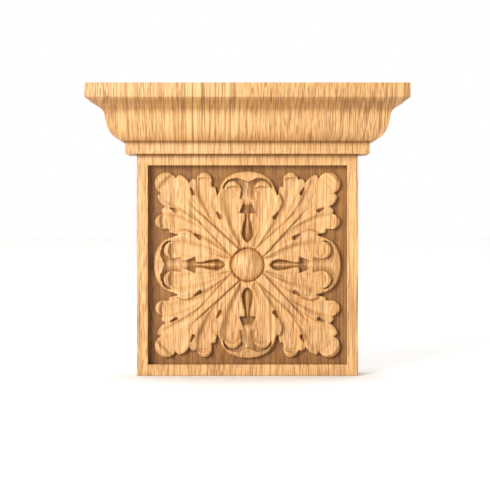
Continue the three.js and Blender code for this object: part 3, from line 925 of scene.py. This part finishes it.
def add_panel(shell, wall_top, sizes, block):
    """Adds the carved panel, and the four walls from its border up to the frame."""
    x, z, height, painted_shade = carved_panel(sizes, 2 * block.panel_half)
    points = np.stack([x, block.ground - height, z + block.panel_middle], -1)
    shell.add(points, grid_triangles(height), False, painted_shade)
    borders = [np.s_[:, 0], np.s_[-1, :], np.s_[::-1, -1], np.s_[0, ::-1]]
    for side, border in enumerate(borders):
        top = wall_top[[(side + 1) % 4, side]]
        wall = np.concatenate([points[border], top])
        # Each wall fades from the painted shade at the panel's border to none at the frame
        shell.add_polygon(wall, np.concatenate([painted_shade[border], [0, 0]]))


def capital_mesh(mouldings, rosette):
    """One closed surface: mouldings, underside, top, back, frame, carved panel and its walls."""
    block = Block(mouldings)
    shell = Shell()
    outer = add_mouldings(shell, mouldings, block)
    wall_top = add_frame(shell, outer, mouldings, block)
    add_panel(shell, wall_top, rosette, block)
    return shell.mesh("capital_carved")


def add_node(tree, kind, settings, inputs):
    """Adds a node with its settings, links or sets its inputs, and gives its outputs by name."""
    node = tree.nodes.new(kind)
    for name, value in settings.items():
        setattr(node, name, value)
    sockets = {socket.identifier: socket for socket in node.inputs}
    for name, value in inputs.items():
        if isinstance(value, bpy.types.NodeSocket):
            tree.links.new(value, sockets[name])
        else:
            sockets[name].default_value = value
    return {socket.identifier: socket for socket in node.outputs}


def oak_grain(tree, finish):
    """Place in the grain, the same place for the pores, and where a face shows end grain.

    The grain runs upright and sways from side to side. A face that looks sideways shows the board's
    depth for its width. End grain cuts the pores across, so there they are short in the depth.
    """
    surface = add_node(tree, "ShaderNodeTexCoord", {}, {})
    facing = add_node(tree, "ShaderNodeVectorMath", {"operation": "ABSOLUTE"}, {
        "Vector": surface["Normal"],
    })
    direction = add_node(tree, "ShaderNodeSeparateXYZ", {}, {"Vector": facing["Vector"]})
    edge_on = add_node(tree, "ShaderNodeMath", {"operation": "GREATER_THAN"}, {
        "Value": direction["X"],
        "Value_001": SIDE_FACING,
    })
    end_on = add_node(tree, "ShaderNodeMath", {"operation": "GREATER_THAN"}, {
        "Value": direction["Z"],
        "Value_001": END_FACING,
    })["Value"]

    spot = add_node(tree, "ShaderNodeSeparateXYZ", {}, {"Vector": surface["Object"]})
    turned = add_node(tree, "ShaderNodeCombineXYZ", {}, {
        "X": spot["Y"],
        "Y": spot["X"],
        "Z": spot["Z"],
    })
    place = add_node(tree, "ShaderNodeMix", {"data_type": "VECTOR"}, {
        "Factor_Float": edge_on["Value"],
        "A_Vector": surface["Object"],
        "B_Vector": turned["Vector"],
    })["Result_Vector"]

    slow = 1 / finish.sway_length
    sway_place = add_node(tree, "ShaderNodeMapping", {}, {
        "Vector": place,
        "Scale": (SWAY_ACROSS * slow, slow, slow),
    })
    sway = add_node(tree, "ShaderNodeTexNoise", {}, {
        "Vector": sway_place["Vector"],
        "Scale": 1.0,
        "Detail": SWAY_DETAIL,
    })
    grain = add_node(tree, "ShaderNodeVectorMath", {"operation": "MULTIPLY_ADD"}, {
        "Vector": sway["Fac"],
        "Vector_001": (finish.sway, 0, 0),
        "Vector_002": place,
    })["Vector"]

    shortened = add_node(tree, "ShaderNodeVectorMath", {"operation": "MULTIPLY"}, {
        "Vector": grain,
        "Vector_001": (1, END_SHORTENING, 1),
    })
    pore_place = add_node(tree, "ShaderNodeMix", {"data_type": "VECTOR"}, {
        "Factor_Float": end_on,
        "A_Vector": grain,
        "B_Vector": shortened["Vector"],
    })["Result_Vector"]
    return grain, pore_place, end_on


def oak_patterns(tree, finish, grain, pore_place):
    """Masks from 0 to 1 by name: noise in cells that are stretched along the grain."""
    masks = {}
    for number, (name, pattern) in enumerate(PATTERNS.items()):
        width = getattr(finish, pattern["cell"] + "_width")
        length = getattr(finish, pattern["cell"] + "_length")
        lowest, highest = pattern["shown"]
        stretched = add_node(tree, "ShaderNodeMapping", {}, {
            "Vector": pore_place if name in PORE_PATTERNS else grain,
            "Scale": (1 / width, 1 / (pattern["deeper"] * width), 1 / length),
            "Location": tuple(shift * number for shift in PATTERN_SHIFT),
        })
        noise = add_node(tree, "ShaderNodeTexNoise", {}, {
            "Vector": stretched["Vector"],
            "Scale": 1.0,
            "Detail": pattern["detail"],
        })
        masks[name] = add_node(tree, "ShaderNodeMapRange", {}, {
            "Value": noise["Fac"],
            "From Min": lowest,
            "From Max": highest,
        })["Result"]
    return masks


def growth_rings(tree, finish, grain, masks):
    """Mask of the rings: distance across the board, bent into arches by the figure.

    Each ring has one dark line, which the gaps interrupt.
    """
    across = add_node(tree, "ShaderNodeVectorMath", {"operation": "DOT_PRODUCT"}, {
        "Vector": grain,
        "Vector_001": (1 / finish.ring_spacing, RING_LEAN / finish.ring_spacing, 0),
    })
    turns = add_node(tree, "ShaderNodeMath", {"operation": "MULTIPLY_ADD"}, {
        "Value": masks["figure"],
        "Value_001": RING_ARCHES,
        "Value_002": across["Value"],
    })
    age = add_node(tree, "ShaderNodeMath", {"operation": "FRACT"}, {"Value": turns["Value"]})
    start, full = RING_LINE
    dark_line = add_node(tree, "ShaderNodeMapRange", {"interpolation_type": "SMOOTHSTEP"}, {
        "Value": age["Value"],
        "From Min": start,
        "From Max": full,
    })
    return add_node(tree, "ShaderNodeMath", {"operation": "MULTIPLY"}, {
        "Value": dark_line["Result"],
        "Value_001": masks["gap"],
    })["Value"]


def oiled_oak(finish):
    """Oiled oak, flat sawn with its grain upright and sanded smooth.

    The eye sees growth rings cut into upright lines and arches, each fading to one side and sharp on
    the other; soft streaks, crisp lines and short dark flecks along the grain; broad bands of paler
    and warmer wood; a satin surface that the flecks break; and end grain that is a little darker on the
    flat top and underside. Painted shade darkens the deep ground, the creases, the eyes and the
    mouldings' crevices.
    """
    material = bpy.data.materials.new("oak_oiled_satin")
    material.use_nodes = True
    tree = material.node_tree
    shader = tree.nodes["Principled BSDF"]
    grain, pore_place, end_on = oak_grain(tree, finish)
    masks = oak_patterns(tree, finish, grain, pore_place)
    masks["ring"] = growth_rings(tree, finish, grain, masks)
    masks["end"] = end_on
    # Painted shade: darkening on the deep ground, in creases and eyes, on the panel's walls and in the
    # mouldings' crevices
    masks["painted_shade"] = add_node(tree, "ShaderNodeAttribute", {"attribute_name": "painted_shade"}, {})["Fac"]

    # Pores: short flecks in the bands of warmer wood and in end grain, long crisp lines elsewhere
    flecked = add_node(tree, "ShaderNodeMath", {"operation": "MAXIMUM"}, {
        "Value": masks["band"],
        "Value_001": end_on,
    })
    masks["pores"] = add_node(tree, "ShaderNodeMix", {"data_type": "FLOAT"}, {
        "Factor_Float": flecked["Value"],
        "A_Float": masks["line"],
        "B_Float": masks["fleck"],
    })["Result_Float"]

    # Colours laid over the pale wood, from the lowest: its mask, how it is laid on, which colour
    layers = [
        ("band", "MIX", finish.honey),
        ("streak", "MIX", finish.early),
        ("ring", "MIX", finish.early),
        ("pores", "MIX", finish.fleck),
        # End grain is darker under any lamp, and borrows the painted shade's tint
        ("end", "MULTIPLY", finish.painted_shade),
        # Painted shade, laid over all of the wood's colours
        ("painted_shade", "MULTIPLY", finish.painted_shade),
    ]
    tone = tuple(finish.pale)
    for name, blend, tint in layers:
        share = add_node(tree, "ShaderNodeMath", {"operation": "MULTIPLY"}, {
            "Value": masks[name],
            "Value_001": LAYER_STRENGTH[name],
        })
        tone = add_node(tree, "ShaderNodeMix", {"data_type": "RGBA", "blend_type": blend}, {
            "Factor_Float": share["Value"],
            "A_Color": tone,
            "B_Color": tuple(tint),
        })["Result_Color"]
    tree.links.new(tone, shader.inputs["Base Color"])

    between_pores, in_pores = OAK_ROUGHNESS
    roughness = add_node(tree, "ShaderNodeMapRange", {}, {
        "Value": masks["fleck"],
        "To Min": between_pores,
        "To Max": in_pores,
    })
    tree.links.new(roughness["Result"], shader.inputs["Roughness"])
    bump = add_node(tree, "ShaderNodeBump", {"invert": True}, {
        "Height": masks["fleck"],
        "Strength": PORE_STRENGTH,
        "Distance": PORE_DEPTH * MM,
    })
    tree.links.new(bump["Normal"], shader.inputs["Normal"])
    shader.inputs["IOR"].default_value = OIL_IOR
    return material


class CAPITAL_OT_carve(bpy.types.Operator):
    """Carve the capital and finish it in oiled oak"""

    bl_idname = "capital.carve"
    bl_label = "Carve capital"

    def execute(self, context):
        scene = context.scene
        mesh = capital_mesh(scene.capital_mouldings, scene.capital_rosette)
        mesh.materials.append(oiled_oak(scene.capital_finish))
        piece = bpy.data.objects.new("capital_carved", mesh)
        context.collection.objects.link(piece)
        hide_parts("capital")
        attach(piece, "root")
        return {"FINISHED"}


def matt_paint(tint):
    """Matt white paint, rolled on: an even pale surface with hardly any gloss."""
    material = bpy.data.materials.new("floor_matt_paint")
    material.use_nodes = True
    shader = material.node_tree.nodes["Principled BSDF"]
    shader.inputs["Base Color"].default_value = tint
    shader.inputs["Roughness"].default_value = FLOOR_ROUGHNESS
    return material


def add_floor(context, studio):
    """Adds a flat square floor, a hair below the capital."""
    mesh = bpy.data.meshes.new("floor")
    corners = [(x * FLOOR_REACH, y * FLOOR_REACH, -FLOOR_GAP * MM) for x, y in SQUARE_SIGNS]
    mesh.from_pydata(corners, [], [(0, 1, 2, 3)])
    mesh.materials.append(matt_paint(tuple(studio.floor)))
    floor = bpy.data.objects.new("floor", mesh)
    context.collection.objects.link(floor)


def studio_surroundings(studio):
    """World that is dim on the camera's side and white on the far side, with a pale ceiling."""
    world = bpy.data.worlds.new("studio")
    world.use_nodes = True
    tree = world.node_tree
    heading = add_node(tree, "ShaderNodeTexCoord", {}, {})
    split = add_node(tree, "ShaderNodeSeparateXYZ", {}, {"Vector": heading["Generated"]})
    sides = add_node(tree, "ShaderNodeMapRange", {"interpolation_type": "SMOOTHSTEP"}, {
        "Value": split["Y"],
        "From Min": BACKDROP_FROM,
        "From Max": BACKDROP_FULL,
        "To Min": studio.room,
        "To Max": studio.backdrop,
    })
    ceiling = add_node(tree, "ShaderNodeMapRange", {"interpolation_type": "SMOOTHSTEP"}, {
        "Value": split["Z"],
        "From Min": CEILING_FROM,
        "From Max": CEILING_FULL,
        "To Max": studio.ceiling,
    })
    brightness = add_node(tree, "ShaderNodeMath", {"operation": "ADD"}, {
        "Value": sides["Result"],
        "Value_001": ceiling["Result"],
    })
    background = tree.nodes["Background"]
    background.inputs["Color"].default_value = (1, 1, 1, 1)
    tree.links.new(brightness["Value"], background.inputs["Strength"])
    return world


def add_soft_light(context, name, card, power):
    """Adds a soft rectangular light that faces the middle of the capital's back."""
    light = bpy.data.lights.new(name, "AREA")
    light.shape = "RECTANGLE"
    light.size = card["width"]
    light.size_y = card["height"]
    light.energy = power
    lamp = bpy.data.objects.new(name, light)
    lamp.location = card["place"]
    aim = Vector((0, HIGH.y, HIGH.z / 2)) - lamp.location
    lamp.rotation_euler = aim.to_track_quat("-Z", "Y").to_euler()
    context.collection.objects.link(lamp)


def add_overhead_light(context, studio):
    """Adds even light from straight above, with soft shadows."""
    light = bpy.data.lights.new("overhead", "SUN")
    light.energy = studio.overhead
    light.angle = OVERHEAD_SPREAD
    context.collection.objects.link(bpy.data.objects.new("overhead", light))


def add_camera(context, studio):
    """Adds a level camera straight in front of the capital."""
    camera = bpy.data.cameras.new("camera")
    camera.lens = studio.lens
    camera.sensor_width = SENSOR_WIDTH
    camera.shift_x = SHIFT_ACROSS
    camera.shift_y = SHIFT_UP
    viewer = bpy.data.objects.new("camera", camera)
    viewer.location = (0, HIGH.y - studio.distance, studio.eye_height)
    viewer.rotation_euler = (math.pi / 2, 0, 0)
    context.collection.objects.link(viewer)
    context.scene.camera = viewer


class CAPITAL_OT_stage(bpy.types.Operator):
    """Set up the floor, the soft light and the camera"""

    bl_idname = "capital.stage"
    bl_label = "Set up studio"

    def execute(self, context):
        scene = context.scene
        studio = scene.capital_studio
        add_floor(context, studio)
        scene.world = studio_surroundings(studio)
        add_soft_light(context, "softbox", SOFTBOX, studio.key_power)
        add_soft_light(context, "reflector", REFLECTOR, studio.reflector)
        add_overhead_light(context, studio)
        add_camera(context, studio)
        scene.view_settings.view_transform = "Standard"
        return {"FINISHED"}


class CAPITAL_PT_sidebar(bpy.types.Panel):
    """Lists the capital's sizes, colours and steps"""

    bl_idname = "CAPITAL_PT_sidebar"
    bl_label = "Oak capital"
    bl_space_type = "VIEW_3D"
    bl_region_type = "UI"
    bl_category = "Capital"

    def draw(self, context):
        for name in GROUPS:
            group = getattr(context.scene, name)
            box = self.layout.box()
            for setting in group.__annotations__:
                box.prop(group, setting)
        self.layout.operator(CAPITAL_OT_carve.bl_idname)
        self.layout.operator(CAPITAL_OT_stage.bl_idname)


GROUPS = {
    "capital_mouldings": MouldingSizes,
    "capital_rosette": RosetteSizes,
    "capital_finish": OakFinish,
    "capital_studio": StudioSettings,
}
CLASSES = (*GROUPS.values(), CAPITAL_OT_carve, CAPITAL_OT_stage, CAPITAL_PT_sidebar)


def register():
    """Registers the classes and hangs the settings on the scene."""
    for entry in CLASSES:
        bpy.utils.register_class(entry)
    for name, group in GROUPS.items():
        setattr(bpy.types.Scene, name, PointerProperty(type=group))


def unregister():
    """Takes the settings off the scene and the classes out again."""
    for name in GROUPS:
        delattr(bpy.types.Scene, name)
    for entry in reversed(CLASSES):
        bpy.utils.unregister_class(entry)


def main():
    """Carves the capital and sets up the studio."""
    register()
    bpy.ops.capital.carve()
    bpy.ops.capital.stage()


if __name__ == "__main__":
    main()
